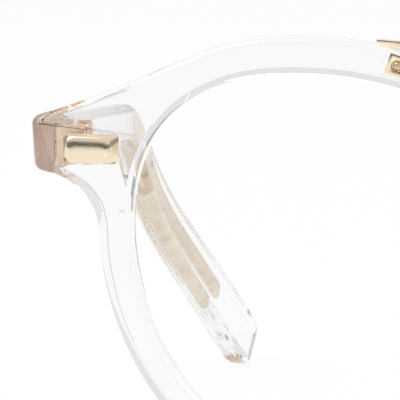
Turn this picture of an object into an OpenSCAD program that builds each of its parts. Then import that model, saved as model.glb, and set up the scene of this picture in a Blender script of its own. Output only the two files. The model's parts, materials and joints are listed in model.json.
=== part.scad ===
// Clear acetate eyeglasses frame with gold fittings: two rims joined by a brow bar and a lower bridge,
// two folding temples with core wires, hinges, nose pads on arms and plano lenses.
// Millimetres. +Z is up, the front faces -Y and the temples run to +Y.
// The wearer's right side is at -X. Every right-hand piece is modelled there and mirrored for the left.

/* [Lens opening] */
// Width of the opening in each rim
lens_w = 50; // [40:1:60]
// Height of the opening in each rim
lens_h = 48.9; // [39:0.1:58]
// Distance between the two openings
bridge_gap = 20; // [17:0.5:24]
// Height from the widest line up to the top of the opening
lens_crown = 19.1; // [15.5:0.1:23]
// Distance of the top's highest point from the outer side
apex_in = 20.5; // [17:0.5:25]

/* [Rim] */
// Width of the rim at its sides
rim_w = 4.1; // [3.4:0.1:5]
// Width of the rim at its top
rim_top_w = 4.9; // [4:0.1:5.9]
// Width of the rim at its bottom
rim_low_w = 4.2; // [3.5:0.1:5]
// Thickness of the rim, from its face to its back
rim_t = 4.2; // [3.9:0.1:4.6]
// Size of the rounded edges
edge_r = 0.9; // [0.5:0.05:1.1]
// Depth of the groove that holds the lens
groove_d = 0.6; // [0.4:0.05:0.8]
// Width of the groove at its mouth
groove_w = 1.8; // [1.2:0.1:2.2]
// Thickness of the lens
lens_t = 1.5; // [1.1:0.1:1.7]

/* [Endpiece] */
// Thickness of the endpiece, which steps back behind the rim
end_t = 5.2; // [4.8:0.1:6.2]
// How far the endpiece reaches out from the rim's side
end_reach = 8.5; // [7.2:0.1:10.2]
// Height of the endpiece at its outer end
end_h = 7.2; // [6.4:0.1:8.8]
// Height of the endpiece's middle above the widest line of the lens
end_rise = 10.5; // [8.7:0.1:12]
// Radius of the hollow curve under the endpiece
fillet_r = 8; // [5:0.5:8]

/* [Front inlay] */
// Length of the gold bar on the endpiece
inlay_l = 7; // [5.8:0.1:7.6]
// Height of the gold bar
inlay_h = 3.7; // [3:0.1:4.4]
// Thickness of the gold bar
inlay_t = 1.5; // [1.2:0.1:1.8]
// How far the bar stands out of the face
inlay_proud = 0.5; // [0.3:0.05:0.6]
// Radius of the two posts behind the bar
post_r = 0.55; // [0.4:0.05:0.66]

/* [Bridge] */
// Half the length of the brow bar
bar_half = 29.3; // [24:0.1:30]
// Height of the brow bar between the rims
bar_h = 2.4; // [2:0.1:2.9]
// Depth of the brow bar from front to back
bar_t = 3; // [2.4:0.1:3.4]
// How much the brow bar's top dips at its middle
bar_dip = 1.3; // [0:0.1:1.6]
// Length of each plate of the lower bridge
plate_l = 7.2; // [6.4:0.1:8]
// Height of each plate of the lower bridge
plate_h = 3; // [2.5:0.1:3.2]
// Thickness of the lower bridge
bridge_t = 1; // [0.8:0.05:1.2]
// Depth of the plates below the rim's face
bridge_sink = 0.8; // [0.6:0.05:0.95]
// Height of the lower bridge between the plates
strip_h = 2.2; // [1.8:0.1:2.6]

/* [Hinge] */
// Radius of the hinge barrels
barrel_r = 1.25; // [1.05:0.05:1.4]
// Height of the hinge
hinge_h = 5; // [4.2:0.1:6]
// Distance of the hinge axis behind the front's back
hinge_back = 2.3; // [1.95:0.05:2.7]
// Radius of the hinge screw
hinge_screw_r = 0.55; // [0.4:0.05:0.6]
// Length of the temple's hinge leaf
leaf_l = 9; // [7.5:0.5:10.5]
// Thickness of the temple's hinge leaf
leaf_t = 0.8; // [0.6:0.05:0.9]

/* [Temple] */
// Distance from the front's face to the end of the temple
temple_l = 138; // [115:1:166]
// Thickness of the temple
temple_t = 4; // [3.4:0.1:4.6]
// Height of the temple at the hinge
temple_h = 6.6; // [5.6:0.1:7.2]
// Height of the temple before the ear bend
waist_h = 5.3; // [4.6:0.1:6.3]
// Height of the temple's tip
tip_h = 8.3; // [7:0.1:9.8]
// Distance from the end at which the ear bend starts
bend_l = 68; // [57:1:72]
// How far the tip curls inward
tip_curl = 12; // [10:0.5:14]

/* [Core wire] */
// Thickness of the core wire
core_t = 1.4; // [1.1:0.05:1.7]
// Height of the core wire's wide front stretch
core_h = 4.2; // [3.5:0.1:4.5]
// Height of the core wire's narrow rear stretch
core_tail_h = 3; // [2.4:0.1:3.4]

/* [Nose pads] */
// Length of a nose pad
pad_l = 12.6; // [10.5:0.1:13.4]
// Width of a nose pad
pad_w = 7.4; // [6.2:0.1:8]
// Thickness of a nose pad
pad_t = 2; // [1.7:0.1:2.4]
// Distance of the pads' pivots from the middle
pad_x = 9.8; // [9:0.1:11]
// Turn of the pads towards the back, in degrees
pad_splay = 25; // [20:1:30]
// Lean of the pads from the vertical, in degrees
pad_lean = 18; // [12:1:20]

/* [Hidden] */
$fn = 48;

// Clearances: between fixed pieces, in running fits, between knuckles and between moving pieces
fit = 0.04;
running = 0.05;
knuckle_gap = 0.15;
swing_gap = 0.3;

// Lens opening, as four quarter ovals around its widest line
nasal_x = -bridge_gap / 2;
temporal_x = nasal_x - lens_w;
open_top = rim_low_w + lens_h;
wide_z = open_top - lens_crown;
top_x = temporal_x + apex_in;
low_x = (nasal_x + temporal_x) / 2;
oval_power = [2.05, 2.4, 1.9, 1.9];

// Endpiece
rim_out_x = temporal_x - rim_w;
end_x = rim_out_x - end_reach;
end_mid_z = wide_z + end_rise;
end_top = end_mid_z + end_h / 2;
end_low = end_mid_z - end_h / 2;
corner_r = 1.3;
end_from = 115;
end_to = 182;

// Temple and hinge places
temple_x = end_x + 0.5 + temple_t / 2;
temple_in_x = temple_x + temple_t / 2;
temple_y = end_t + swing_gap + 0.05;
hinge_x = temple_in_x + swing_gap - 0.05 + barrel_r;
hinge_y = end_t + hinge_back;
hinge_z = end_mid_z - 0.4;
knuckle_h = (hinge_h - 2 * knuckle_gap) / 3;
hinge_plate_l = 3.7;
hinge_plate_t = 0.8;
hinge_plate_x = hinge_x - 1.35;
hinge_plate_end = hinge_plate_x + hinge_plate_l / 2;
tongue_h = 2.6;
plate_corner = 0.6;
head_r = 0.95;
head_h = 0.5;
rivet_r = 0.5;
rivet_at = [3.3, leaf_l - 2];

// Front inlay and corner plate
inlay_x = hinge_x + 1.6;
inlay_z = hinge_z - 0.35;
inlay_corner_r = 0.8;
post_half = 1.9;
tongue_l = inlay_x + post_half + post_r + 0.7 - hinge_plate_x;
corner_plate_l = 2.2;
corner_plate_h = 5.6;
corner_plate_t = 0.7;
corner_plate_y = end_t - hinge_plate_t - corner_plate_t - 0.2;

// Bridge
bar_y = (rim_t - bar_t) / 2;
bar_top = open_top + rim_top_w - 0.4;
stud_x = bar_half - 4.5;
stud_r = 0.5;
stud_l = 1.5;
plate_from = [-bar_half + 1, bar_top - 2.8];
plate_slope = 18;
plate_clear = 0.12;
screw_at = [1.6, plate_l - 1.6];
screw_r = 0.4;
screw_head_r = 0.48;
screw_sink_r = 0.78;
screw_sink = 0.4;
screw_l = 2.2;
strip_mid_z = plate_from[1] - 4.2;

// Core wire, measured back from the front's face
core_from = temple_l - bend_l + 6;
core_wide_to = temple_l - 43;
core_to = temple_l - 14;
core_rivet_r = 0.6;
core_rivet_y = core_wide_to - 2;

// Nose pads
pad_y = rim_t + 5.4;
pad_z = wide_z - 4.5;
pad_back = 1.3;
lug_t = 1.2;
lug_h = 1.8;
lug_back = 0.6;
box_t = 0.5;
box_gap = lug_t + 2 * knuckle_gap;
box_h = 2;
box_from = -1.4;
box_to = 0.9;
pad_screw_r = 0.4;
foot_l = 4;
foot_w = 2.2;
foot_t = 0.7;
foot_z = wide_z + 4.5;
foot_x = nasal_x + rim_w / 2;
prong_r = 0.4;
prong_l = 1.5;
wire_r = 0.45;

// ---- Curves ----

function unit(v) = v / norm(v);
function bezier(a, b, c, d, s) =
    pow(1 - s, 3) * a + 3 * s * pow(1 - s, 2) * b + 3 * s * s * (1 - s) * c + pow(s, 3) * d;
function oval(v, power) = sign(v) * pow(abs(v), 2 / power);

// A point of the lens opening at an angle: 0 is the nose side, 90 the top, 180 the outer side
function open_point(turn) =
    let (t = (turn + 360) % 360)
    let (quarter = min(3, floor(t / 90)))
    let (middle = quarter < 2 ? top_x : low_x)
    let (reach = cos(t) > 0 ? nasal_x - middle : middle - temporal_x)
    let (rise = quarter < 2 ? lens_crown : wide_z - rim_low_w)
    [middle + reach * oval(cos(t), oval_power[quarter]), wide_z + rise * oval(sin(t), oval_power[quarter])];
function open_normal(t) =
    let (along = open_point(t + 1) - open_point(t - 1))
    unit([along[1], -along[0]]);
function rim_width(t) =
    rim_w + (sin(t) > 0 ? rim_top_w - rim_w : rim_low_w - rim_w) * pow(sin(t), 2);
function rim_point(t) = open_point(t) + rim_width(t) * open_normal(t);

// The outer line of the endpiece, from the rim's top round to the hollow curve below
top_run = 12;
corner_run = 5;
hollow_run = 11;
top_start = rim_point(end_from);
top_along = unit(rim_point(end_from + 1) - top_start);
corner_top = [end_x + corner_r, end_top - corner_r];
corner_low = [end_x + corner_r + 0.3, end_low + corner_r];
hollow_at = [rim_out_x - fillet_r, end_low - fillet_r];
top_reach = norm(corner_top - top_start) / 3;
function round_point(centre, r, turn) = centre + r * [cos(turn), sin(turn)];
end_line = concat(
    [for (i = [0 : top_run - 1])
        bezier(top_start, top_start + top_along * top_reach,
               round_point(corner_top, corner_r, 106) + top_reach * [cos(16), sin(16)],
               round_point(corner_top, corner_r, 106), i / top_run)],
    [for (i = [0 : corner_run - 1]) round_point(corner_top, corner_r, 106 + i * 70 / (corner_run - 1))],
    [for (i = [0 : corner_run - 1]) round_point(corner_low, corner_r, 184 + i * 82 / (corner_run - 1))],
    [for (i = [1 : hollow_run]) round_point(hollow_at, fillet_r, 88 - i * 86 / hollow_run)]
);
end_count = len(end_line);

// The rim's two lines have one point per station: the endpiece's stations, then the rest of the rim
rest_count = 64;
rest_turn = 360 - (end_to - end_from);
stations = concat(
    [for (i = [0 : end_count - 1]) end_from + i * (end_to - end_from) / end_count],
    [for (i = [0 : rest_count - 1]) end_to + i * rest_turn / rest_count]
);
station_count = len(stations);
inner_line = [for (t = stations) open_point(t)];
inner_out = [for (t = stations) open_normal(t)];
outer_line = concat(end_line, [for (i = [end_count : station_count - 1]) rim_point(stations[i])]);
outer_out = [for (i = [0 : station_count - 1])
    let (along = outer_line[(i + 1) % station_count] - outer_line[(i + station_count - 1) % station_count])
    unit([along[1], -along[0]])];
outer_far = [for (i = [0 : station_count - 1]) outer_line[i] + fit * outer_out[i]];

// The rim's section: [side, shift from that side's line into the material, distance from the face]
slant = edge_r * (1 - cos(45));
groove_y = rim_t / 2;
thick_from = 5;
thick_to = end_count - 4;
function section(t) = [
    [0, 0, edge_r],
    [0, 0, groove_y - groove_w / 2],
    [0, groove_d, groove_y],
    [0, 0, groove_y + groove_w / 2],
    [0, 0, t - edge_r],
    [0, slant, t - slant],
    [0, edge_r, t],
    [1, edge_r, t],
    [1, slant, t - slant],
    [1, 0, t - edge_r],
    [1, 0, edge_r],
    [1, slant, slant],
    [1, edge_r, 0],
    [0, edge_r, 0],
    [0, slant, slant]
];
function station_t(i) = i >= thick_from && i <= thick_to ? end_t : rim_t;
function rim_corner(i, corner) =
    let (flat = corner[0] == 0 ? inner_line[i] + corner[1] * inner_out[i]
                               : outer_line[i] - corner[1] * outer_out[i])
    [flat[0], corner[2], flat[1]];

// Quads that join neighbouring rings of a closed or an open run of rings
function skin(rings, side, closed) =
    [for (i = [0 : rings - (closed ? 1 : 2)], j = [0 : side - 1])
        let (k = (i + 1) % rings, n = (j + 1) % side)
        [i * side + j, i * side + n, k * side + n, k * side + j]];
function cap_first(side) = [for (j = [side - 1 : -1 : 0]) j];
function cap_last(rings, side) = [for (j = [0 : side - 1]) (rings - 1) * side + j];

// ---- Temple path ----

// The ear bend and the inward curl are each a slope that grows evenly and then holds
bend_y = temple_l - bend_l;
bend_run = 26;
arm_slope = 0.03;
tail_slope = 0.72;
curl_y = temple_l - 50;
curl_run = 22;
curl_slope = tip_curl / (temple_l - curl_y - curl_run / 2);
function eased(y, from, run, slope) =
    y < from ? 0 : y < from + run ? slope * pow(y - from, 2) / (2 * run) : slope * (y - from - run / 2);
tip_run = 3;
level_drop = hinge_z + 0.5 - arm_slope * temple_l;
full_drop = eased(temple_l, bend_y, bend_run, tail_slope);
end_slope = arm_slope + tail_slope * level_drop / full_drop;
tip_turns = [30, 60, 85];
function tip_scale(a) = 0.55 + 0.45 * cos(a);
tip_z = max([for (a = concat([0], tip_turns))
    tip_h / 2 * tip_scale(a) * cos(atan(end_slope)) - end_slope * tip_run * (1 - sin(a))]);
tail_share = (level_drop - tip_z) / full_drop;
function temple_point(y) = [
    temple_x + eased(y, curl_y, curl_run, curl_slope),
    y,
    hinge_z + 0.5 - arm_slope * y - eased(y, bend_y, bend_run, tail_slope * tail_share)
];
function temple_along(y) = unit(temple_point(y + 0.5) - temple_point(y - 0.5));
function temple_side(y) = let (a = temple_along(y)) unit([a[1], -a[0], 0]);
function temple_up(y) = cross(temple_side(y), temple_along(y));
function mix(a, b, s) = a + (b - a) * min(1, max(0, s));
function temple_half_h(y) =
    y < bend_y ? mix(temple_h, waist_h, (y - temple_y) / (bend_y - temple_y)) / 2
               : mix(waist_h, tip_h, (y - bend_y) / (bend_l - 8)) / 2;

// A rounded bar that follows the temple's path: [distance, half thickness, half height] per ring
function bar_ring(y, half_t, half_h, r) =
    [for (corner = [[1, 1, 0], [-1, 1, 90], [-1, -1, 180], [1, -1, 270]], a = [0 : 30 : 90])
        temple_point(y)
        + (corner[0] * (half_t - r) + r * cos(corner[2] + a)) * temple_side(y)
        + (corner[1] * (half_h - r) + r * sin(corner[2] + a)) * temple_up(y)];
bar_side = 16;
function bar_points(rings, r) =
    [for (ring = rings) each bar_ring(ring[0], ring[1], ring[2], min(r, ring[1] * 0.9, ring[2] * 0.9))];
module path_bar(rings, r) {
    polyhedron(
        points = bar_points(rings, r),
        faces = concat(skin(len(rings), bar_side, false), [cap_first(bar_side)], [cap_last(len(rings), bar_side)])
    );
}

temple_edge_r = 1.2;
temple_steps = concat([temple_y, (temple_y + bend_y) / 2], [for (i = [0 : 19]) bend_y + i * (bend_l - tip_run) / 19]);
temple_rings = concat(
    [for (y = temple_steps) [y, temple_t / 2, temple_half_h(y)]],
    [for (a = tip_turns)
        let (y = temple_l - tip_run + tip_run * sin(a))
        [y, temple_t / 2 * tip_scale(a), temple_half_h(y) * tip_scale(a)]]
);
function core_half_h(y) = mix(core_h, core_tail_h, (y - core_wide_to) / 1.5) / 2;
function core_rings(grow) = concat(
    [[core_from - grow, core_t / 2 + grow, core_h / 2 + grow]],
    [for (y = [core_from + 10 : 10 : core_wide_to]) [y, core_t / 2 + grow, core_h / 2 + grow]],
    [for (y = [core_wide_to, core_wide_to + 1.5]) [y + 0.5, core_t / 2 + grow, core_half_h(y) + grow]],
    [for (y = [core_wide_to + 5 : 3 : core_to - 2]) [y, core_t / 2 + grow, core_tail_h / 2 + grow]],
    [[core_to + grow, core_t / 2 + grow, core_tail_h / 4 + grow]]
);

// The middle of the whole length, which the frame is centred on
temple_end_y = max([for (p = bar_points(temple_rings, temple_edge_r)) p[1]]);
mid_y = (temple_end_y - inlay_proud) / 2;

// ---- Helpers ----

module place() {
    translate([0, -mid_y, 0])
        children();
}

module place_left() {
    mirror([1, 0, 0])
        place()
            children();
}

module rounded_rect(w, h, r) {
    square([w - 2 * r, h], center = true);
    square([w, h - 2 * r], center = true);
    for (x = [-1, 1], y = [-1, 1])
        translate([x * (w / 2 - r), y * (h / 2 - r)])
            circle(r = r);
}

// Raises a drawing of the front view from one distance behind the face to another
module behind(from, to) {
    translate([0, to, 0])
        rotate([90, 0, 0])
            linear_extrude(height = to - from)
                children();
}

module pin_back(x, z, r, from, to) {
    translate([x, from, z])
        rotate([-90, 0, 0])
            cylinder(r = r, h = to - from);
}

// ---- Front ----

// The lower bridge is one outline: a sloping plate at each end and a dipping strip between them
plate_along = [cos(plate_slope), -sin(plate_slope)];
plate_up = [sin(plate_slope), cos(plate_slope)];
plate_end = plate_from + plate_l * plate_along;
strip_steps = 12;
strip_line = [for (i = [1 : strip_steps])
    bezier(plate_end, plate_end + 6 * plate_along, [-7, strip_mid_z], [0, strip_mid_z], i / strip_steps)];
function plate_corner(s, side, grow) = plate_from + s * plate_along + side * (plate_h / 2 + grow) * plate_up;
function bridge_edge(side, grow) = concat(
    [plate_corner(-grow, side, grow), plate_corner(plate_l + grow, side, grow)],
    [for (p = strip_line) p + [0, side * (strip_h / 2 + grow)]]
);
function reversed(list) = [for (i = [len(list) - 1 : -1 : 0]) list[i]];
function mirrored(list) = [for (p = list) [-p[0], p[1]]];
module bridge_view(grow) {
    above = bridge_edge(1, grow);
    below = bridge_edge(-1, grow);
    polygon(concat(
        [for (i = [0 : len(above) - 2]) above[i]],
        reversed(mirrored(above)),
        mirrored(below),
        [for (i = [len(below) - 2 : -1 : 0]) below[i]]
    ));
}

function bridge_screw(s) = plate_from + s * plate_along;

module rim() {
    difference() {
        polyhedron(
            points = [for (i = [0 : station_count - 1], corner = section(station_t(i))) rim_corner(i, corner)],
            faces = skin(station_count, len(section(rim_t)), true)
        );
        behind(-1, inlay_t - inlay_proud + fit)
            translate([inlay_x, inlay_z])
                rounded_rect(inlay_l + 2 * fit, inlay_h + 2 * fit, inlay_corner_r + fit);
        for (x = [-post_half, post_half])
            pin_back(inlay_x + x, inlay_z, post_r + fit, 0, end_t + 1);
        behind(end_t - hinge_plate_t - fit, end_t + 1)
            hinge_plate_view(fit);
        behind(corner_plate_y - fit, corner_plate_y + corner_plate_t + fit)
            corner_plate_view(fit);
        behind(-1, bridge_sink + bridge_t + fit)
            bridge_view(fit);
        for (s = screw_at)
            pin_back(bridge_screw(s)[0], bridge_screw(s)[1], screw_r + fit, 0, bridge_sink + screw_l + 2 * fit);
        translate([-stud_x, rim_t / 2, stud_low() - fit])
            cylinder(r = stud_r + fit, h = stud_l * 3);
        for (z = [-1.2, 1.2])
            pin_back(foot_x, foot_z + z, prong_r + fit, rim_t - prong_l - fit, rim_t + 1);
    }
}

module right_rim() {
    color([0.95, 0.96, 0.98, 0.5])
        place()
            rim();
}

module left_rim() {
    color([0.95, 0.96, 0.98, 0.5])
        place_left()
            rim();
}

// The lens has a pointed edge that sits in the rim's groove
lens_count = 72;
lens_edge = [[0.25, -lens_t / 2], [fit - groove_d + 0.06, 0], [0.25, lens_t / 2]];
module lens() {
    polyhedron(
        points = [for (corner = lens_edge, i = [0 : lens_count - 1])
            let (t = i * 360 / lens_count)
            let (flat = open_point(t) - corner[0] * open_normal(t))
            [flat[0], groove_y + corner[1], flat[1]]],
        faces = concat(
            [for (i = [0 : 1], j = [0 : lens_count - 1])
                let (n = (j + 1) % lens_count)
                [i * lens_count + j, (i + 1) * lens_count + j, (i + 1) * lens_count + n, i * lens_count + n]],
            [[for (j = [0 : lens_count - 1]) j]],
            [[for (j = [lens_count - 1 : -1 : 0]) 2 * lens_count + j]]
        )
    );
}

module right_lens() {
    color([0.9, 0.95, 1, 0.3])
        place()
            lens();
}

module left_lens() {
    color([0.9, 0.95, 1, 0.3])
        place_left()
            lens();
}

// Height of the brow bar's top at a distance from the middle
function bar_z(x) = bar_top - bar_dip * (1 - pow(x / bar_half, 2));
function stud_low() = bar_z(stud_x) - bar_h - stud_l;
bar_steps = 16;

module brow_bar() {
    color("gold")
        place()
            difference() {
                union() {
                    behind(bar_y, bar_y + bar_t)
                        difference() {
                            polygon(concat(
                                [for (i = [-bar_steps : bar_steps])
                                    let (x = i * bar_half / bar_steps)
                                    [x, bar_z(x)]],
                                [for (i = [bar_steps : -1 : -bar_steps])
                                    let (x = i * bar_half / bar_steps)
                                    [x, bar_z(x) - bar_h]]
                            ));
                            for (side = [0, 1])
                                mirror([side, 0])
                                    polygon(outer_far);
                        }
                    for (x = [-stud_x, stud_x])
                        translate([x, rim_t / 2, stud_low()])
                            cylinder(r = stud_r, h = stud_l + bar_h - 0.3);
                }
                behind(0, bridge_sink + bridge_t + plate_clear)
                    bridge_view(plate_clear);
            }
}

module lower_bridge() {
    color("gold")
        place()
            difference() {
                behind(bridge_sink, bridge_sink + bridge_t)
                    bridge_view(0);
                for (side = [0, 1])
                    mirror([side, 0, 0])
                        for (s = screw_at) {
                            pin_back(bridge_screw(s)[0], bridge_screw(s)[1], screw_r + fit, 0, rim_t);
                            pin_back(bridge_screw(s)[0], bridge_screw(s)[1], screw_sink_r, 0,
                                     bridge_sink + screw_sink);
                        }
            }
}

module bridge_screw_solid(s) {
    at = bridge_screw(s);
    head_top = bridge_sink + screw_sink;
    difference() {
        union() {
            pin_back(at[0], at[1], screw_r, head_top - 0.1, bridge_sink + screw_l);
            pin_back(at[0], at[1], screw_head_r, head_top - 0.3, head_top);
        }
        translate([at[0], head_top - 0.3, at[1]])
            cube([2 * screw_head_r + 1, 0.3, 0.16], center = true);
    }
}

module bridge_screws() {
    color("goldenrod")
        for (side = [0, 1])
            mirror([side, 0, 0])
                place()
                    for (s = screw_at)
                        bridge_screw_solid(s);
}

module front_inlay() {
    behind(-inlay_proud, inlay_t - inlay_proud)
        translate([inlay_x, inlay_z])
            rounded_rect(inlay_l, inlay_h, inlay_corner_r);
    for (x = [-post_half, post_half])
        pin_back(inlay_x + x, inlay_z, post_r, 0, end_t);
}

module right_front_inlay() {
    color("gold")
        place()
            front_inlay();
}

module left_front_inlay() {
    color("gold")
        place_left()
            front_inlay();
}

module corner_plate_view(grow) {
    translate([end_x + 0.45 + corner_plate_l / 2, hinge_z])
        rounded_rect(corner_plate_l + 2 * grow, corner_plate_h + 2 * grow, 0.5);
}

module right_corner_plate() {
    color("rosybrown")
        place()
            behind(corner_plate_y, corner_plate_y + corner_plate_t)
                corner_plate_view(0);
}

module left_corner_plate() {
    color("rosybrown")
        place_left()
            behind(corner_plate_y, corner_plate_y + corner_plate_t)
                corner_plate_view(0);
}

// ---- Hinges ----

// The plate is let into the endpiece's back, and its tongue runs behind the gold bar to the far post
module hinge_plate_view(grow) {
    translate([hinge_plate_x, hinge_z])
        rounded_rect(hinge_plate_l + 2 * grow, hinge_h + 2 * grow, plate_corner);
    translate([hinge_plate_x + tongue_l / 2, inlay_z])
        rounded_rect(tongue_l + 2 * grow, tongue_h + 2 * grow, plate_corner);
}

module knuckle(low, high, bore_r) {
    translate([hinge_x, hinge_y, hinge_z + low])
        difference() {
            cylinder(r = barrel_r, h = high - low);
            translate([0, 0, -1])
                cylinder(r = bore_r, h = high - low + 2);
        }
}

module knuckle_web(low, high) {
    difference() {
        union() {
            translate([hinge_x - barrel_r, end_t - 0.2, hinge_z + low])
                cube([hinge_plate_end - plate_corner - hinge_x + barrel_r, hinge_back + 0.2, high - low]);
            translate([hinge_x - barrel_r, end_t, hinge_z + low])
                cube([2 * barrel_r, hinge_back, high - low]);
        }
        translate([hinge_x, hinge_y, hinge_z + low - 1])
            cylinder(r = barrel_r - 0.1, h = high - low + 2);
    }
}

module front_hinge() {
    top = hinge_h / 2;
    step = knuckle_h / 2 + knuckle_gap;
    difference() {
        behind(end_t - hinge_plate_t, end_t)
            hinge_plate_view(0);
        for (x = [-post_half, post_half])
            pin_back(inlay_x + x, inlay_z, post_r + fit, 0, end_t + 1);
    }
    knuckle_web(-top, -step);
    knuckle_web(step, top);
    knuckle(-top, -step, hinge_screw_r + fit / 2);
    knuckle(step, top, hinge_screw_r + running);
}

module right_front_hinge() {
    color("tan")
        place()
            front_hinge();
}

module left_front_hinge() {
    color("tan")
        place_left()
            front_hinge();
}

module hinge_screw() {
    difference() {
        union() {
            translate([hinge_x, hinge_y, hinge_z - hinge_h / 2])
                cylinder(r = hinge_screw_r, h = hinge_h + 0.1);
            translate([hinge_x, hinge_y, hinge_z + hinge_h / 2])
                cylinder(r = head_r, h = head_h);
        }
        translate([hinge_x, hinge_y, hinge_z + hinge_h / 2 + head_h])
            cube([2 * head_r + 1, 0.25, 0.5], center = true);
    }
}

module hinge_screws() {
    color("goldenrod")
        for (side = [0, 1])
            mirror([side, 0, 0])
                place()
                    hinge_screw();
}

module temple_hinge() {
    half = knuckle_h / 2;
    leaf_x = temple_in_x;
    difference() {
        union() {
            translate([leaf_x, hinge_y, hinge_z - hinge_h / 2])
                cube([leaf_t, leaf_l, hinge_h]);
            translate([leaf_x, hinge_y, hinge_z - half])
                cube([hinge_x - leaf_x, barrel_r, knuckle_h]);
            translate([hinge_x, hinge_y, hinge_z - half])
                cylinder(r = barrel_r, h = knuckle_h);
        }
        translate([hinge_x, hinge_y, hinge_z - hinge_h])
            cylinder(r = hinge_screw_r + running, h = 2 * hinge_h);
        for (low = [-hinge_h, half])
            translate([hinge_x, hinge_y, hinge_z + low])
                cylinder(r = barrel_r + 0.2, h = hinge_h - half);
        for (y = rivet_at)
            translate([leaf_x - 1, hinge_y + y, hinge_z])
                rotate([0, 90, 0])
                    cylinder(r = rivet_r + fit, h = leaf_t + 2);
    }
}

module right_temple_hinge() {
    color("tan")
        place()
            temple_hinge();
}

module left_temple_hinge() {
    color("tan")
        place_left()
            temple_hinge();
}

// ---- Temples ----

rivet_depth = temple_t - 0.7;
core_rivet_at = temple_point(core_rivet_y);

module temple_rivet_set(grow) {
    for (y = rivet_at)
        translate([temple_in_x - rivet_depth - grow, hinge_y + y, hinge_z])
            rotate([0, 90, 0])
                cylinder(r = rivet_r + grow, h = rivet_depth + leaf_t + grow);
    translate([core_rivet_at[0] - 1.3 - grow, core_rivet_y, core_rivet_at[2]])
        rotate([0, 90, 0])
            cylinder(r = core_rivet_r + grow, h = 1.3 + temple_t / 2 + grow);
}

module temple() {
    difference() {
        path_bar(temple_rings, temple_edge_r);
        path_bar(core_rings(fit), 0.3);
        temple_rivet_set(fit);
    }
}

module right_temple() {
    color([0.95, 0.96, 0.98, 0.5])
        place()
            temple();
}

module left_temple() {
    color([0.95, 0.96, 0.98, 0.5])
        place_left()
            temple();
}

module core_wire() {
    difference() {
        path_bar(core_rings(0), 0.3);
        translate([core_rivet_at[0] - 5, core_rivet_y, core_rivet_at[2]])
            rotate([0, 90, 0])
                cylinder(r = core_rivet_r + fit, h = 10);
    }
}

module right_core_wire() {
    color("darkgoldenrod")
        place()
            core_wire();
}

module left_core_wire() {
    color("darkgoldenrod")
        place_left()
            core_wire();
}

module right_temple_rivets() {
    color("goldenrod")
        place()
            temple_rivet_set(0);
}

module left_temple_rivets() {
    color("goldenrod")
        place_left()
            temple_rivet_set(0);
}

// ---- Nose pads ----

pad_at = [-pad_x, pad_y, pad_z];

// The pad's own axes: x towards the nose, y along its pivot, z along its length
module at_pad() {
    translate(pad_at)
        rotate([0, 0, pad_splay])
            rotate([0, pad_lean, 0])
                children();
}

module pad_box() {
    difference() {
        translate([box_from, -box_gap / 2 - box_t, -box_h / 2])
            cube([box_to - box_from, box_gap + 2 * box_t, box_h]);
        translate([box_from + box_t, -box_gap / 2, -box_h])
            cube([box_to - box_from, box_gap, 2 * box_h]);
        rotate([90, 0, 0])
            cylinder(r = pad_screw_r + fit, h = 6, center = true);
    }
}

pad_turned_x = [cos(pad_splay) * cos(pad_lean), sin(pad_splay) * cos(pad_lean), -sin(pad_lean)];
wire_start = [foot_x, rim_t + foot_t / 2, foot_z];
wire_end = pad_at + (box_from + 0.2) * pad_turned_x;
wire_steps = 14;
wire_side = 10;
function wire_point(s) =
    bezier(wire_start, wire_start + [0, 5.5, 1.5], wire_end + [-3, -1.5, 4.5], wire_end, s);
function wire_ring(s) =
    let (along = unit(wire_point(s + 0.01) - wire_point(s - 0.01)))
    let (across = unit(cross(along, [1, 0, 0])))
    let (third = cross(along, across))
    [for (j = [0 : wire_side - 1])
        wire_point(s) + wire_r * (cos(j * 360 / wire_side) * across + sin(j * 360 / wire_side) * third)];

module pad_arm() {
    polyhedron(
        points = [for (i = [0 : wire_steps]) each wire_ring(i / wire_steps)],
        faces = concat(
            [for (f = skin(wire_steps + 1, wire_side, false)) [f[3], f[2], f[1], f[0]]],
            [[for (j = [0 : wire_side - 1]) j]],
            [[for (j = [wire_side - 1 : -1 : 0]) wire_steps * wire_side + j]]
        )
    );
    behind(rim_t, rim_t + foot_t)
        translate([foot_x, foot_z])
            rounded_rect(foot_w, foot_l, 0.8);
    for (z = [-1.2, 1.2])
        pin_back(foot_x, foot_z + z, prong_r, rim_t - prong_l, rim_t + 0.1);
    at_pad()
        pad_box();
}

module right_pad_arm() {
    color("gold")
        place()
            pad_arm();
}

module left_pad_arm() {
    color("gold")
        place_left()
            pad_arm();
}

module pad_screw() {
    half = box_gap / 2 + box_t;
    rotate([90, 0, 0]) {
        cylinder(r = pad_screw_r, h = 2 * half, center = true);
        translate([0, 0, half])
            cylinder(r = 0.65, h = 0.4);
    }
}

module pad_screws() {
    color("goldenrod")
        for (side = [0, 1])
            mirror([side, 0, 0])
                place()
                    at_pad()
                        pad_screw();
}

// A pad is a drop shape: wide below and narrower above, with a domed face
module pad_view(grow) {
    low = pad_w / 2 + grow;
    high = pad_w * 0.36 + grow;
    hull() {
        translate([-pad_l / 2 + pad_w / 2, 0])
            circle(r = low, $fn = 32);
        translate([pad_l / 2 - pad_w * 0.36, 0])
            circle(r = high, $fn = 32);
    }
}

module pad_layer(from, to, grow) {
    translate([from, 0, 0])
        rotate([0, 90, 0])
            linear_extrude(height = to - from)
                pad_view(grow);
}

lug_in = 0.8;

module nose_pad() {
    difference() {
        hull() {
            pad_layer(pad_back, pad_back + 0.1, -0.6);
            pad_layer(pad_back + 0.5, pad_back + 1, 0);
            pad_layer(pad_back + pad_t - 0.1, pad_back + pad_t, -1);
        }
        translate([pad_back - 1, -lug_t / 2 - fit, -lug_h / 2 - fit])
            cube([1 + lug_in + fit, lug_t + 2 * fit, lug_h + 2 * fit]);
    }
}

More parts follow.
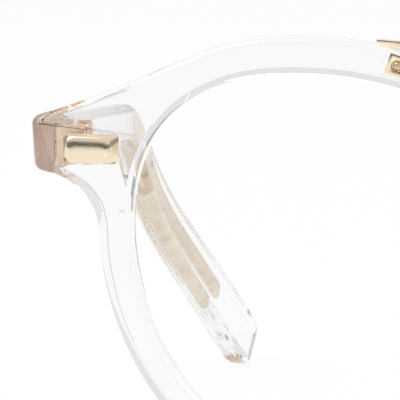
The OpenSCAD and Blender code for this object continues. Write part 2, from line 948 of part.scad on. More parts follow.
module pad_lug() {
    difference() {
        translate([-lug_back, -lug_t / 2, -lug_h / 2])
            cube([lug_back + pad_back + lug_in, lug_t, lug_h]);
        rotate([90, 0, 0])
            cylinder(r = pad_screw_r + running, h = 4, center = true);
    }
}

module right_nose_pad() {
    color([0.93, 0.93, 0.9, 0.6])
        place()
            at_pad()
                nose_pad();
}

module left_nose_pad() {
    color([0.93, 0.93, 0.9, 0.6])
        place_left()
            at_pad()
                nose_pad();
}

module right_pad_lug() {
    color("whitesmoke")
        place()
            at_pad()
                pad_lug();
}

module left_pad_lug() {
    color("whitesmoke")
        place_left()
            at_pad()
                pad_lug();
}

right_rim();
left_rim();
right_lens();
left_lens();
brow_bar();
lower_bridge();
bridge_screws();
right_front_inlay();
left_front_inlay();
right_corner_plate();
left_corner_plate();
right_front_hinge();
left_front_hinge();
hinge_screws();
right_pad_arm();
left_pad_arm();
pad_screws();
right_nose_pad();
left_nose_pad();
right_pad_lug();
left_pad_lug();
right_temple();
left_temple();
right_core_wire();
left_core_wire();
right_temple_hinge();
left_temple_hinge();
right_temple_rivets();
left_temple_rivets();
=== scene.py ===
"""Clear acetate eyeglasses frame with gold fittings: looks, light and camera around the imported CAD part."""

import json
from math import copysign, cos, hypot, pi, radians, sin

import bmesh
import bpy
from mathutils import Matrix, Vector


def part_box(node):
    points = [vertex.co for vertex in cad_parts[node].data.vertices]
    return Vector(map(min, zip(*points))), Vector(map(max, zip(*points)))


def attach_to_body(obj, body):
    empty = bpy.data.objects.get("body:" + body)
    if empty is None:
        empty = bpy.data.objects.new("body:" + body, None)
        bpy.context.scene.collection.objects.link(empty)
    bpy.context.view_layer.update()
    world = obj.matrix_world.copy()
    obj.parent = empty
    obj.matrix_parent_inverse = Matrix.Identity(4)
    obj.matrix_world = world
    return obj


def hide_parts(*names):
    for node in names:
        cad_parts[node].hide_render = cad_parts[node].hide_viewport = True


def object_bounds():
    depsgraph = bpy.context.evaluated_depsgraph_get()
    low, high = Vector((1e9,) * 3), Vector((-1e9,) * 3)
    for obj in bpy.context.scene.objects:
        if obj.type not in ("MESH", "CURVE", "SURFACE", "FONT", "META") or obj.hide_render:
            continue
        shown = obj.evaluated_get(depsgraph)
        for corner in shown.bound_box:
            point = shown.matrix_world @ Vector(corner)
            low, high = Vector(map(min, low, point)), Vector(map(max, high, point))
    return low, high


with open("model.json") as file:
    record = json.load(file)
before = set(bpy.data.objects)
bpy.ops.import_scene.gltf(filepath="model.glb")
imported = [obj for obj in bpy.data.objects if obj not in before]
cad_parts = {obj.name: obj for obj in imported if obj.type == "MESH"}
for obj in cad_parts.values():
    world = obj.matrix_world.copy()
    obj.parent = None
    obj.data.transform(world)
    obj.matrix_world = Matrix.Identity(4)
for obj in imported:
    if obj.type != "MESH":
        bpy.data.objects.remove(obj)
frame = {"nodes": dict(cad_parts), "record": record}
nodes = frame["nodes"]
cad_low, cad_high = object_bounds()
MM = 0.001

# ---- Materials ----


def new_material(name):
    material = bpy.data.materials.new(name)
    material.use_nodes = True
    tree = material.node_tree
    return material, tree, tree.nodes["Principled BSDF"]


def noise(tree, scale, detail=3.0, stretch=(1, 1, 1)):
    """Object-space noise, drawn out along an axis where stretch is small."""
    place = tree.nodes.new("ShaderNodeTexCoord")
    mapping = tree.nodes.new("ShaderNodeMapping")
    mapping.inputs["Scale"].default_value = stretch
    texture = tree.nodes.new("ShaderNodeTexNoise")
    texture.inputs["Scale"].default_value = scale
    texture.inputs["Detail"].default_value = detail
    tree.links.new(place.outputs["Object"], mapping.inputs["Vector"])
    tree.links.new(mapping.outputs["Vector"], texture.inputs["Vector"])
    return texture.outputs["Fac"]


def ranged(tree, value, low, high):
    node = tree.nodes.new("ShaderNodeMapRange")
    node.inputs["From Min"].default_value = 0.3
    node.inputs["From Max"].default_value = 0.7
    node.inputs["To Min"].default_value = low
    node.inputs["To Max"].default_value = high
    tree.links.new(value, node.inputs["Value"])
    return node.outputs["Result"]


def mixed(tree, factor, first, second):
    node = tree.nodes.new("ShaderNodeMix")
    node.data_type = "RGBA"
    node.inputs["A"].default_value = (*first, 1)
    node.inputs["B"].default_value = (*second, 1)
    tree.links.new(factor, node.inputs["Factor"])
    return node.outputs["Result"]


def bumped(tree, shader, height, distance):
    node = tree.nodes.new("ShaderNodeBump")
    node.inputs["Strength"].default_value = 0.4
    node.inputs["Distance"].default_value = distance
    tree.links.new(height, node.inputs["Height"])
    tree.links.new(node.outputs["Normal"], shader.inputs["Normal"])


def edge_factor(tree):
    """1 on worn convex edges, 0 on flats."""
    geometry = tree.nodes.new("ShaderNodeNewGeometry")
    node = tree.nodes.new("ShaderNodeMapRange")
    node.inputs["From Min"].default_value = 0.52
    node.inputs["From Max"].default_value = 0.6
    tree.links.new(geometry.outputs["Pointiness"], node.inputs["Value"])
    return node.outputs["Result"]


def metal(name, colour, dark, roughness, grain=(1, 1, 1), grain_scale=900.0):
    """Plated metal: fine grain in the roughness and bump, slow tone change, and bright rubbed edges."""
    material, tree, shader = new_material(name)
    grainy = noise(tree, grain_scale, 4.0, grain)
    tone = mixed(tree, noise(tree, 260.0, 2.0), dark, colour)
    edges = tree.nodes.new("ShaderNodeMix")
    edges.data_type = "RGBA"
    edges.inputs["B"].default_value = (*[min(1.0, c * 1.12) for c in colour], 1)
    tree.links.new(edge_factor(tree), edges.inputs["Factor"])
    tree.links.new(tone, edges.inputs["A"])
    tree.links.new(edges.outputs["Result"], shader.inputs["Base Color"])
    tree.links.new(ranged(tree, grainy, roughness * 0.75, roughness * 1.35), shader.inputs["Roughness"])
    bumped(tree, shader, grainy, 0.000003)
    shader.inputs["Metallic"].default_value = 1.0
    return material


def clear(name, colour, roughness, ior, haze):
    """Polished clear plastic: smooth with a faint orange peel, and hair-fine scuffs in the roughness."""
    material, tree, shader = new_material(name)
    scuffs = noise(tree, 1500.0, 5.0, (1, 1, 0.15))
    shader.inputs["Base Color"].default_value = (*colour, 1)
    shader.inputs["Transmission Weight"].default_value = 1.0
    shader.inputs["IOR"].default_value = ior
    tree.links.new(ranged(tree, scuffs, roughness, roughness + haze), shader.inputs["Roughness"])
    bumped(tree, shader, noise(tree, 120.0, 2.0), 0.000012)
    return material


def pad_plastic(name, colour, transmission):
    material, tree, shader = new_material(name)
    tone = mixed(tree, noise(tree, 220.0), [c * 0.94 for c in colour], colour)
    tree.links.new(tone, shader.inputs["Base Color"])
    tree.links.new(ranged(tree, noise(tree, 900.0), 0.22, 0.4), shader.inputs["Roughness"])
    shader.inputs["Transmission Weight"].default_value = transmission
    shader.inputs["IOR"].default_value = 1.42
    bumped(tree, shader, noise(tree, 1400.0), 0.00002)
    return material


ACETATE = clear("clear_acetate", (0.955, 0.956, 0.966), 0.0, 1.49, 0.02)
TEMPLE_ACETATE = clear("temple_acetate", (0.96, 0.961, 0.97), 0.05, 1.49, 0.03)
LENS = clear("clear_lens", (0.995, 0.998, 0.998), 0.0, 1.05, 0.004)
GOLD = metal("polished_gold", (0.94, 0.81, 0.61), (0.89, 0.75, 0.55), 0.16, (1, 1, 8))
HINGE_GOLD = metal("hinge_gold", (0.8, 0.62, 0.46), (0.7, 0.53, 0.4), 0.24)
ROSE = metal("rose_metal", (0.62, 0.45, 0.37), (0.56, 0.4, 0.33), 0.34, (1, 1, 12), 1400.0)
CORE = metal("core_gold", (1.0, 0.9, 0.76), (0.97, 0.86, 0.71), 0.4, (1, 0.08, 1), 1500.0)
SCREW = metal("screw_gold", (0.78, 0.62, 0.42), (0.66, 0.5, 0.33), 0.25)
PAD = pad_plastic("pad_silicone", (0.98, 0.98, 0.97), 0.6)
LUG = pad_plastic("lug_plastic", (0.92, 0.92, 0.9), 0.2)

SLOT_MATERIAL = {
    "clear_acetate": ACETATE, "clear_lens": LENS, "polished_gold": GOLD, "hinge_gold": HINGE_GOLD,
    "rose_metal": ROSE, "core_gold": CORE, "screw_gold": SCREW, "pad_silicone": PAD, "lug_plastic": LUG,
}
slot_of = {part["node"]: part["material_slot"] for part in frame["record"]["subparts"]}


def dress(obj, material, smooth_angle=35):
    obj.data.materials.clear()
    obj.data.materials.append(material)
    obj.data.set_sharp_from_angle(angle=radians(smooth_angle))


# ---- Shapes: the clear pieces and the gold fittings again, with round edges, in millimetres ----

# The model's distances run back from the face of the front
FACE_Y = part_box("right_rim")[0].y / MM
NOSE_X, OUTER_X, TOP_X, LOW_X = -10.0, -60.0, -39.5, -35.0
WIDE_Z, CROWN, DROP = 34.0, 19.1, 29.8
OVAL_POWER = (2.05, 2.4, 1.9, 1.9)
RIM_W, RIM_TOP_W, RIM_LOW_W = 4.1, 4.9, 4.2
RIM_T, END_T, EDGE_R = 4.2, 5.2, 0.9
GROOVE_D, GROOVE_W = 0.35, 1.6
END_X, END_TOP, END_LOW, CORNER_R, FILLET_R = -72.6, 48.1, 40.9, 1.3, 8.0
END_FROM, END_TO = 115, 182
# The thick endpiece starts and ends this many stations from the ends of its outline
STEP_FROM, STEP_BACK = 20, 10
TOP_STEPS, CORNER_STEPS, HOLLOW_STEPS, RIM_STEPS = 48, 20, 40, 256
INLAY_AT, INLAY_SIZE, INLAY_DEPTH, INLAY_CORNER = (-65.0, 43.75), (7.0, 3.7), 1.0, 0.8
# How far the inlay's walls slope in at the nose end, the top, and the other two sides
INLAY_NOSE_IN, INLAY_TOP_IN, INLAY_REST_IN = 0.95, 0.22, 0.1
HINGE_Z, TEMPLE_X, TEMPLE_Y, TEMPLE_L = 44.1, -70.1, 5.55, 138.0
TEMPLE_HALF_T, TEMPLE_EDGE_R = 2.0, 1.2
BEND_Y, BEND_RUN, ARM_SLOPE, TAIL_SLOPE = 70.0, 26.0, 0.03, 0.6946
CURL_Y, CURL_RUN, CURL_SLOPE = 88.0, 22.0, 12 / 39
CORE_FROM, CORE_WIDE_TO, CORE_TO = 76.0, 95.0, 124.0
CORE_HALF_T, CORE_H, CORE_TAIL_H, CORE_EDGE_R = 0.7, 4.2, 3.0, 0.35
# How far a flat's own points stand in from its round edges
HOLD = 0.03


def unit(a, b):
    size = hypot(a, b)
    return a / size, b / size


def bezier(a, b, c, d, s):
    return tuple((1 - s) ** 3 * i + 3 * s * (1 - s) ** 2 * j + 3 * s * s * (1 - s) * k + s ** 3 * l
                 for i, j, k, l in zip(a, b, c, d))


def oval(value, power):
    return copysign(abs(value) ** (2 / power), value)


def open_point(turn):
    """A point of the lens opening: 0 is the nose side, 90 the top, 180 the outer side."""
    turn %= 360
    quarter = min(3, int(turn // 90))
    middle = TOP_X if quarter < 2 else LOW_X
    c, s = cos(radians(turn)), sin(radians(turn))
    reach = NOSE_X - middle if c > 0 else middle - OUTER_X
    rise = CROWN if quarter < 2 else DROP
    return middle + reach * oval(c, OVAL_POWER[quarter]), WIDE_Z + rise * oval(s, OVAL_POWER[quarter])


def open_normal(turn):
    before, after = open_point(turn - 1), open_point(turn + 1)
    return unit(after[1] - before[1], before[0] - after[0])


def rim_point(turn):
    s = sin(radians(turn))
    width = RIM_W + ((RIM_TOP_W if s > 0 else RIM_LOW_W) - RIM_W) * s * s
    point, normal = open_point(turn), open_normal(turn)
    return point[0] + width * normal[0], point[1] + width * normal[1]


def round_point(centre, r, turn):
    return centre[0] + r * cos(radians(turn)), centre[1] + r * sin(radians(turn))


def end_outline():
    """The outer line of the endpiece, from the rim's top round its corners to the hollow below."""
    start, after = rim_point(END_FROM), rim_point(END_FROM + 1)
    along = unit(after[0] - start[0], after[1] - start[1])
    top = (END_X + CORNER_R, END_TOP - CORNER_R)
    low = (END_X + CORNER_R + 0.3, END_LOW + CORNER_R)
    hollow = (OUTER_X - RIM_W - FILLET_R, END_LOW - FILLET_R)
    reach = hypot(top[0] - start[0], top[1] - start[1]) / 3
    last = round_point(top, CORNER_R, 106)
    handles = ((start[0] + along[0] * reach, start[1] + along[1] * reach),
               (last[0] + reach * cos(radians(16)), last[1] + reach * sin(radians(16))))
    line = [bezier(start, *handles, last, i / TOP_STEPS) for i in range(TOP_STEPS)]
    line += [round_point(top, CORNER_R, 106 + i * 70 / (CORNER_STEPS - 1)) for i in range(CORNER_STEPS)]
    line += [round_point(low, CORNER_R, 184 + i * 82 / (CORNER_STEPS - 1)) for i in range(CORNER_STEPS)]
    line += [round_point(hollow, FILLET_R, 80 - i * 2) for i in range(HOLLOW_STEPS)]
    return line


def rim_section(thick):
    """(side, shift from that side's line into the material, distance from the face) right round the rim."""
    def arc(side, from_turn, y_of):
        points = []
        for i in range(7):
            a = radians(from_turn + i * 15)
            points.append((side, EDGE_R * (1 - cos(a)), y_of(EDGE_R * (1 - sin(a)))))
        return points
    def held(points):
        """An edge's arc, with a point just inside the flats at both its ends, so that the flats shade flat."""
        (side, _, y), (_, shift, face) = points[0], points[-1]
        inward = HOLD if y > face else -HOLD
        return [(side, 0, y + inward)] + points + [(side, shift + HOLD, face)]
    middle = RIM_T / 2
    back_in = held(arc(0, 0, lambda d: thick - d))
    back_out = held(arc(1, 0, lambda d: thick - d))[::-1]
    face_out = held(arc(1, 0, lambda d: d))
    face_in = held(arc(0, 0, lambda d: d))[::-1]
    groove = [(0, 0, middle - GROOVE_W / 2), (0, GROOVE_D * 0.9, middle - 0.1), (0, GROOVE_D * 0.9, middle + 0.1),
              (0, 0, middle + GROOVE_W / 2)]
    return groove + back_in + back_out + face_out + face_in


def rim_rings():
    outer = end_outline()
    ends = len(outer)
    turns = [END_FROM + i * (END_TO - END_FROM) / ends for i in range(ends)]
    turns += [END_TO + i * (360 - END_TO + END_FROM) / RIM_STEPS for i in range(RIM_STEPS)]
    inner = [open_point(t) for t in turns]
    inner_out = [open_normal(t) for t in turns]
    outer += [rim_point(t) for t in turns[ends:]]
    count = len(turns)
    outer_out = []
    for i in range(count):
        before, after = outer[i - 1], outer[(i + 1) % count]
        outer_out.append(unit(after[1] - before[1], before[0] - after[0]))
    rings = []
    for i in range(count):
        thick = END_T if STEP_FROM <= i <= ends - STEP_BACK else RIM_T
        ring = []
        for side, shift, y in rim_section(thick):
            line, out, way = (inner, inner_out, 1) if side == 0 else (outer, outer_out, -1)
            ring.append((line[i][0] + way * shift * out[i][0], y, line[i][1] + way * shift * out[i][1]))
        rings.append(ring)
    return rings


def eased(y, start, run, slope):
    if y < start:
        return 0.0
    return slope * (y - start) ** 2 / (2 * run) if y < start + run else slope * (y - start - run / 2)


def temple_point(y):
    return Vector((TEMPLE_X + eased(y, CURL_Y, CURL_RUN, CURL_SLOPE), y,
                   HINGE_Z + 0.5 - ARM_SLOPE * y - eased(y, BEND_Y, BEND_RUN, TAIL_SLOPE)))


def mix(a, b, s):
    return a + (b - a) * min(1.0, max(0.0, s))


def temple_half_h(y):
    if y < BEND_Y:
        return mix(6.6, 5.3, (y - TEMPLE_Y) / (BEND_Y - TEMPLE_Y)) / 2
    return mix(5.3, 8.3, (y - BEND_Y) / 60) / 2


def bar_ring(y, half_t, half_h, r, steps=8):
    along = (temple_point(y + 0.5) - temple_point(y - 0.5)).normalized()
    side = Vector((along.y, -along.x, 0)).normalized()
    up = side.cross(along)
    r = min(r, half_t * 0.9, half_h * 0.9)
    ring = []
    for x_way, z_way, start in ((1, 1, 0), (-1, 1, 90), (-1, -1, 180), (1, -1, 270)):
        for i in range(steps + 1):
            a = radians(start + 90 * i / steps)
            across, rise = x_way * (half_t - r) + r * cos(a), z_way * (half_h - r) + r * sin(a)
            stops = [(across, rise)]
            if i == 0:
                stops.insert(0, (across - abs(sin(a)) * x_way * HOLD, rise - abs(cos(a)) * z_way * HOLD))
            if i == steps:
                stops.append((across - abs(sin(a)) * x_way * HOLD, rise - abs(cos(a)) * z_way * HOLD))
            ring += [temple_point(y) + a_side * side + a_rise * up for a_side, a_rise in stops]
    return ring


def temple_rings():
    """Rings down the temple: a rounded front end, one each half millimetre, and a rounded tip."""
    rings = [bar_ring(TEMPLE_Y + 0.4 * (1 - cos(radians(a))), TEMPLE_HALF_T - 0.4 * (1 - sin(radians(a))),
                      temple_half_h(TEMPLE_Y) - 0.4 * (1 - sin(radians(a))), TEMPLE_EDGE_R) for a in range(0, 91, 15)]
    rings += [bar_ring(y / 2, TEMPLE_HALF_T, temple_half_h(y / 2), TEMPLE_EDGE_R) for y in range(14, 271)]
    for a in range(6, 88, 6):
        y = TEMPLE_L - 3 + 3 * sin(radians(a))
        scale = 0.55 + 0.45 * cos(radians(a))
        rings.append(bar_ring(y, TEMPLE_HALF_T * scale, temple_half_h(y) * scale, TEMPLE_EDGE_R))
    return rings


def core_rings():
    """Rings down the core wire: wide at first, then stepping down to its narrow tail."""
    def ring(y, half_h):
        return bar_ring(y, CORE_HALF_T, half_h, CORE_EDGE_R, 4)
    ys = [CORE_FROM + i for i in range(20)] + [CORE_WIDE_TO + 0.3 * i for i in range(1, 7)]
    ys += [CORE_WIDE_TO + 3 + 2 * i for i in range(12)]
    rings = [ring(CORE_FROM + sin(radians(a)) - 1, CORE_H / 2 * (0.5 + 0.5 * cos(radians(a))))
             for a in (-80, -60, -40, -20)]
    rings += [ring(y, mix(CORE_H, CORE_TAIL_H, (y - CORE_WIDE_TO) / 1.5) / 2) for y in ys if y < CORE_TO - 1]
    rings += [ring(CORE_TO - 1 + sin(radians(a)), CORE_TAIL_H / 2 * (0.4 + 0.6 * cos(radians(a))))
              for a in (0, 30, 60, 85)]
    return rings


def solid(name, rings, closed=False, mirrored=False):
    """A piece skinned over rings of points, which ends in a flat cap unless the rings close."""
    mesh = bmesh.new()
    way = -1 if mirrored else 1
    grid = [[mesh.verts.new((way * x * MM, (FACE_Y + y) * MM, z * MM)) for x, y, z in ring] for ring in rings]
    side = len(grid[0])
    for i in range(len(grid) if closed else len(grid) - 1):
        for j in range(side):
            mesh.faces.new((grid[i][j], grid[i][(j + 1) % side], grid[(i + 1) % len(grid)][(j + 1) % side],
                            grid[(i + 1) % len(grid)][j]))
    if not closed:
        mesh.faces.new(grid[0])
        mesh.faces.new(grid[-1])
    return finished(name, mesh)


def finished(name, mesh):
    bmesh.ops.remove_doubles(mesh, verts=mesh.verts, dist=1e-7)
    bmesh.ops.recalc_face_normals(mesh, faces=mesh.faces)
    data = bpy.data.meshes.new(name)
    mesh.to_mesh(data)
    mesh.free()
    data.shade_smooth()
    obj = bpy.data.objects.new(name, data)
    bpy.context.scene.collection.objects.link(obj)
    return obj


def rounded_outline(centre, size, r, steps=8):
    points = []
    for x_way, z_way, start in ((1, 1, 0), (-1, 1, 90), (-1, -1, 180), (1, -1, 270)):
        for i in range(steps + 1):
            a = radians(start + 90 * i / steps)
            points.append((centre[0] + x_way * (size[0] / 2 - r) + r * cos(a),
                           centre[1] + z_way * (size[1] / 2 - r) + r * sin(a)))
    return points


def carve(obj, cutters):
    """Cuts the cutters out of the piece, and leaves a plain mesh."""
    for cutter in cutters:
        modifier = obj.modifiers.new("cut", "BOOLEAN")
        modifier.operation = "DIFFERENCE"
        modifier.solver = "EXACT"
        modifier.object = cutter
    bpy.context.view_layer.update()
    shape = bpy.data.meshes.new_from_object(obj.evaluated_get(bpy.context.evaluated_depsgraph_get()))
    obj.modifiers.clear()
    obj.data = shape
    for cutter in cutters:
        bpy.data.objects.remove(cutter)


PLATE_FROM, PLATE_L, PLATE_H = (-28.3, 54.8), 7.2, 3.0
SCREW_AT = (1.6, 5.6)
PLATE_ALONG, PLATE_UP = (cos(radians(18)), -sin(radians(18))), (sin(radians(18)), cos(radians(18)))


def on_plate(s, t):
    return tuple(PLATE_FROM[i] + s * PLATE_ALONG[i] + t * PLATE_UP[i] for i in (0, 1))


def bridge_outline(grow, narrow=0.0):
    """The lower bridge seen from the front: a sloping plate at each end and a dipping strip between them."""
    end = on_plate(PLATE_L, 0)
    handle = (end[0] + 6 * PLATE_ALONG[0], end[1] + 6 * PLATE_ALONG[1])
    strip = [bezier(end, handle, (-7, 50.6), (0, 50.6), i / 24) for i in range(1, 25)]
    half = PLATE_H / 2 + grow - narrow / 2
    above = ([on_plate(narrow - grow, half), on_plate(PLATE_L + grow - narrow, half)]
             + [(x, z + 1.1 + grow) for x, z in strip])
    below = ([on_plate(narrow - grow, -half), on_plate(PLATE_L + grow - narrow, -half)]
             + [(x, z - 1.1 - grow) for x, z in strip])
    return (above[:-1] + [(-x, z) for x, z in reversed(above)] + [(-x, z) for x, z in below]
            + list(reversed(below))[1:])


def slab(name, outline, front, back, mirrored=False):
    """A plain block of an outline between two distances behind the face."""
    return solid(name, [[(x, y, z) for x, z in outline] for y in (front, back)], mirrored=mirrored)


def soften(name, width, shift, steps=3):
    """The CAD node again, with rounded edges, and pressed a hair into the plastic that it lies against."""
    mesh = bmesh.new()
    mesh.from_mesh(nodes[name].data)
    bmesh.ops.remove_doubles(mesh, verts=mesh.verts, dist=2e-6)
    bmesh.ops.dissolve_limit(mesh, angle_limit=radians(1.5), verts=mesh.verts, edges=mesh.edges)
    bevel_edges(mesh, width, steps)
    bmesh.ops.translate(mesh, vec=[d * MM for d in shift], verts=mesh.verts)
    return finished(name + "_soft", mesh)


def smooth_pad(name):
    """The nose pad again as one soft rounded skin."""
    pad = bpy.data.objects.new(name + "_smooth", nodes[name].data.copy())
    bpy.context.scene.collection.objects.link(pad)
    skin = pad.modifiers.new("skin", "REMESH")
    skin.mode = "VOXEL"
    skin.voxel_size = 0.12 * MM
    ease = pad.modifiers.new("ease", "SMOOTH")
    ease.factor = 0.5
    ease.iterations = 6
    bpy.context.view_layer.update()
    shape = bpy.data.meshes.new_from_object(pad.evaluated_get(bpy.context.evaluated_depsgraph_get()))
    pad.modifiers.clear()
    pad.data = shape
    shape.shade_smooth()
    return pad


def bevel_edges(mesh, width, steps=3):
    if not width:
        return
    edges = [e for e in mesh.edges if len(e.link_faces) == 2 and e.calc_face_angle(0) > radians(32)]
    bmesh.ops.bevel(mesh, geom=edges, offset=width * MM, segments=steps, profile=0.5, affect="EDGES",
                    clamp_overlap=True)


def round_bar(name, x, z, levels, steps=32):
    """A turned piece along the line of sight: (distance behind the face, radius) from front to back."""
    rings = [[(x + r * cos(2 * pi * i / steps), y, z + r * sin(2 * pi * i / steps)) for i in range(steps)]
             for y, r in levels]
    return solid(name, rings)


def lower_bridge_metal():
    """The bridge with its plates a little inside their pockets, and a sunk seat round each screw."""
    bridge = slab("lower_bridge_metal", bridge_outline(0, 0.35), 0.8, 1.78)
    seats = []
    for way in (-1, 1):
        for s in SCREW_AT:
            x, z = on_plate(s, 0)
            seats.append(round_bar("seat", -way * x, z, [(0, 0.72), (1.6, 0.72)]))
    carve(bridge, seats)
    mesh = bmesh.new()
    mesh.from_mesh(bridge.data)
    bmesh.ops.dissolve_limit(mesh, angle_limit=radians(1.5), verts=mesh.verts, edges=mesh.edges)
    bevel_edges(mesh, 0.12)
    bpy.data.objects.remove(bridge)
    return finished("lower_bridge_metal", mesh)


def bridge_screw_heads():
    """Four domed heads on plain shanks, as one piece."""
    levels = [(0.88 + 0.22 * (1 - cos(radians(a))), max(0.02, 0.5 * sin(radians(a)))) for a in range(5, 91, 8)]
    levels += [(1.5, 0.5), (1.7, 0.4), (3.0, 0.4)]
    mesh = bmesh.new()
    for way in (-1, 1):
        for s in SCREW_AT:
            x, z = on_plate(s, 0)
            head = round_bar("head", -way * x, z, levels)
            mesh.from_mesh(head.data)
            bpy.data.objects.remove(head)
    return finished("bridge_screw_heads", mesh)


def inlay_rings():
    """The gold bar: its ends are round, it slopes in at the top and at the nose end, and its face is crowned."""
    cx, cz = INLAY_AT
    w, h = INLAY_SIZE
    levels = [(INLAY_DEPTH, 0.0), (0.25, 0.0), (0.15, 0.03), (-0.18, 0.85), (-0.22, 0.95), (-0.25, 1.0)]
    rings = []
    for y, s in levels:
        nose, top, rest = INLAY_NOSE_IN * s, INLAY_TOP_IN * s, INLAY_REST_IN * s
        size = (w - nose - rest, h - top - rest)
        centre = (cx + (rest - nose) / 2, cz + (rest - top) / 2)
        ring = []
        for x, z in rounded_outline(centre, size, INLAY_CORNER + 0.55 * s, 14):
            share = (x - cx + w / 2) / w * max(0.0, (z - cz) / (h / 2)) * s
            ring.append((x, y, z - 0.36 * share))
        rings.append(ring)
    centre = (cx - 0.425, cz - 0.2)
    edge = rings[-1]
    for i in range(1, 9):
        keep = 1 - i / 8.5
        rings.append([(centre[0] + (x - centre[0]) * (1 - 0.3 * (1 - keep)), -0.5 + 0.25 * keep ** 2,
                       centre[1] + (z - centre[1]) * keep) for x, _, z in edge])
    return rings


def attach(obj, body, material, *replaced, angle=35):
    dress(obj, material, angle)
    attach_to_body(obj, body)
    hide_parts(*replaced)


# ---- Pieces that stand for their CAD nodes ----

BODY_OF = {node: body for body, held in frame["record"]["behaviour"]["bodies"].items() for node in held}
PLATE_CUT = bridge_outline(0.12)
# Each CAD node that only gets rounder edges: how round, and how far it shifts
SOFTENED = {
    "brow_bar": (0.4, (0, 0, 0)), "hinge_screws": (0.08, (0, 0, 0)), "pad_screws": (0.06, (0, 0, 0)),
    "right_corner_plate": (0.08, (0, 0, 0)), "left_corner_plate": (0.08, (0, 0, 0)),
    "right_front_hinge": (0.1, (0, 0.02, 0)), "left_front_hinge": (0.1, (0, 0.02, 0)),
    "right_temple_hinge": (0.1, (-0.04, 0, 0)), "left_temple_hinge": (0.1, (0.04, 0, 0)),
    "right_temple_rivets": (0.05, (0, 0, 0)), "left_temple_rivets": (0.05, (0, 0, 0)),
    "right_pad_arm": (0.0, (0, -0.04, 0)), "left_pad_arm": (0.0, (0, -0.04, 0)),
    "right_pad_lug": (0.1, (0, 0, 0)), "left_pad_lug": (0.1, (0, 0, 0)),
}

for side in ("right", "left"):
    flip = side == "left"
    rim = solid(side + "_rim_clear", rim_rings(), closed=True, mirrored=flip)
    pocket = rounded_outline(INLAY_AT, (INLAY_SIZE[0] + 0.16, INLAY_SIZE[1] + 0.16), INLAY_CORNER)
    carve(rim, [slab("pocket", pocket, -1, INLAY_DEPTH + 0.03, flip),
                slab("plate_pocket", PLATE_CUT, -1, 1.83)])
    attach(rim, "front", ACETATE, side + "_rim", angle=40)
    temple = solid(side + "_temple_clear", temple_rings(), mirrored=flip)
    attach(temple, side + "_temple_arm", TEMPLE_ACETATE, side + "_temple", angle=40)
    inlay = solid(side + "_inlay_bar", inlay_rings(), mirrored=flip)
    attach(inlay, "front", GOLD, side + "_front_inlay", angle=50)
    core = solid(side + "_core_band", core_rings(), mirrored=flip)
    attach(core, side + "_temple_arm", CORE, side + "_core_wire")

attach(lower_bridge_metal(), "front", GOLD, "lower_bridge")
attach(bridge_screw_heads(), "front", SCREW, "bridge_screws", angle=60)

for name, (width, shift) in SOFTENED.items():
    attach(soften(name, width, shift), BODY_OF[name], SLOT_MATERIAL[slot_of[name]], name)
for name in ("right_nose_pad", "left_nose_pad"):
    attach(smooth_pad(name), BODY_OF[name], PAD, name, angle=60)

for node_name, node_object in nodes.items():
    if not node_object.hide_render:
        node_object.data.shade_smooth()
        dress(node_object, SLOT_MATERIAL[slot_of[node_name]])

bpy.context.scene.cycles.max_bounces = 32
bpy.context.scene.cycles.glossy_bounces = 24
bpy.context.scene.cycles.transmission_bounces = 32

# ---- Stage: floor, light and camera ----

FRONT_Y = cad_low[1]
FLOOR_SIZE = 6.0
# How much of the floor's look is plain white, against its own shade and shadow
FLOOR_GLOW = 0.92
WORLD_LIGHT = 0.75


def seen_plainly(tree):
    """1 for rays from the camera, in metal and through glass, and 0 for the light that falls on things."""
    rays = tree.nodes.new("ShaderNodeLightPath")
    total = rays.outputs["Is Camera Ray"]
    for kind in ("Is Glossy Ray", "Is Transmission Ray"):
        both = tree.nodes.new("ShaderNodeMath")
        both.operation = "ADD"
        both.use_clamp = True
        tree.links.new(total, both.inputs[0])
        tree.links.new(rays.outputs[kind], both.inputs[1])
        total = both.outputs[0]
    return total


def white_to_camera(tree, shader):
    """Shows a plain white to the camera, and through glass and in metal, while the floor keeps its shadow."""
    glow = tree.nodes.new("ShaderNodeEmission")
    glow.inputs["Strength"].default_value = 1.0
    scaled = tree.nodes.new("ShaderNodeMath")
    scaled.operation = "MULTIPLY"
    scaled.inputs[1].default_value = FLOOR_GLOW
    share = tree.nodes.new("ShaderNodeMixShader")
    tree.links.new(seen_plainly(tree), scaled.inputs[0])
    tree.links.new(scaled.outputs[0], share.inputs["Fac"])
    tree.links.new(shader.outputs[0], share.inputs[1])
    tree.links.new(glow.outputs[0], share.inputs[2])
    tree.links.new(share.outputs[0], tree.nodes["Material Output"].inputs["Surface"])


def add_floor():
    bpy.ops.mesh.primitive_plane_add(size=FLOOR_SIZE, location=(0, 0, 0))
    floor = bpy.context.object
    floor.name = "floor"
    material, tree, shader = new_material("floor_white")
    shader.inputs["Base Color"].default_value = (0.93, 0.93, 0.93, 1)
    shader.inputs["Roughness"].default_value = 0.6
    white_to_camera(tree, shader)
    floor.data.materials.append(material)


def add_light(name, place, size, power):
    lamp = bpy.data.lights.new(name, "AREA")
    lamp.shape = "RECTANGLE"
    lamp.size, lamp.size_y = size
    lamp.energy = power
    obj = bpy.data.objects.new(name, lamp)
    obj.location = place
    obj.rotation_euler = (Vector((0, 0, 0.03)) - Vector(place)).to_track_quat("-Z", "Y").to_euler()
    bpy.context.scene.collection.objects.link(obj)


def add_card(name, place, size, turn, grey, through=True):
    """A grey card that only shows in metal, and through clear edges if asked: it glows as a painted dark reflection,
    standing for the unlit parts of the room around the object.
    """
    bpy.ops.mesh.primitive_plane_add(size=1, location=place, rotation=[radians(a) for a in turn])
    card = bpy.context.object
    card.name = name
    card.scale = (size[0], size[1], 1)
    material, tree, _ = new_material(name)
    # Painted dark reflection: this grey glow is all that metal and the clear edges show of the card
    glow = tree.nodes.new("ShaderNodeEmission")
    glow.inputs["Color"].default_value = (grey, grey, grey * 1.03, 1)
    tree.links.new(glow.outputs[0], tree.nodes["Material Output"].inputs["Surface"])
    card.data.materials.append(material)
    card.visible_camera = False
    card.visible_diffuse = False
    card.visible_shadow = False
    card.visible_transmission = through


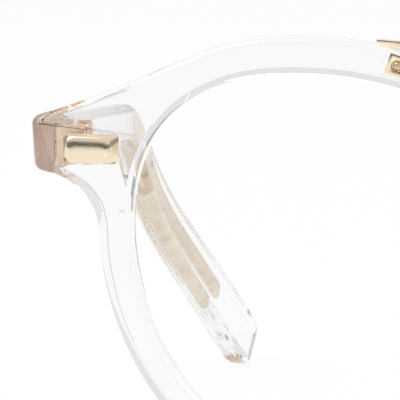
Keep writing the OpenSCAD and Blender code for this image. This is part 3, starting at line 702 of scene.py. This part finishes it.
def add_world():
    """Soft even light on things, and plain white wherever it is seen."""
    world = bpy.data.worlds.new("studio")
    world.use_nodes = True
    bpy.context.scene.world = world
    tree = world.node_tree
    back = tree.nodes["Background"]
    back.inputs["Color"].default_value = (1, 1, 1, 1)
    back.inputs["Strength"].default_value = WORLD_LIGHT
    white = tree.nodes.new("ShaderNodeBackground")
    share = tree.nodes.new("ShaderNodeMixShader")
    tree.links.new(seen_plainly(tree), share.inputs["Fac"])
    tree.links.new(back.outputs[0], share.inputs[1])
    tree.links.new(white.outputs[0], share.inputs[2])
    tree.links.new(share.outputs[0], tree.nodes["World Output"].inputs["Surface"])


CAMERA_BACK = 500 * MM
CAMERA_HEIGHT = 80 * MM
VIEW_WIDTH = 50 * MM
VIEW_CENTRE = (-51.25 * MM, 37.5 * MM)


def add_camera():
    """Looks from in front of the nose at the wearer's right endpiece and rim."""
    camera = bpy.data.cameras.new("camera")
    obj = bpy.data.objects.new("camera", camera)
    bpy.context.scene.collection.objects.link(obj)
    place = Vector((0, FRONT_Y - CAMERA_BACK, CAMERA_HEIGHT))
    target = Vector((VIEW_CENTRE[0], FRONT_Y, VIEW_CENTRE[1]))
    obj.location = place
    obj.rotation_euler = (target - place).to_track_quat("-Z", "Y").to_euler()
    camera.sensor_width = 36
    camera.lens = camera.sensor_width * (target - place).length / VIEW_WIDTH
    camera.clip_start = 0.01
    bpy.context.scene.camera = obj


add_floor()
add_world()
add_light("key", (-0.5, -0.5, 0.75), (0.6, 0.6), 3.5)
add_light("fill", (0.7, -0.4, 0.5), (0.7, 0.5), 1.4)
add_light("back", (0.1, 0.9, 0.7), (0.9, 0.5), 1.5)
# Painted dark reflections: grey cards, seen only in metal and through clear edges, that darken the glass edges and
# the gold
add_card("front_card", (-0.1, -1.1, 0.265), (1.6, 0.23), (90, 0, 0), 0.08, through=False)
add_card("side_card", (0.55, -0.9, 0.2), (0.5, 0.4), (90, 0, 0), 0.3, through=False)
add_card("back_right_card", (1.25, 1.0, 0.5), (1.0, 1.0), (90, 0, 0), 0.8)
add_card("back_left_card", (-1.25, 1.0, 0.5), (1.1, 1.0), (90, 0, 0), 0.4)
add_card("outer_card", (-0.6, 0.0, 0.22), (0.9, 0.44), (90, 0, 90), 0.3)
add_card("inner_card", (0.6, -0.1, 0.22), (0.7, 0.44), (90, 0, 90), 0.8)
add_camera()

bpy.context.scene.view_settings.view_transform = "Standard"
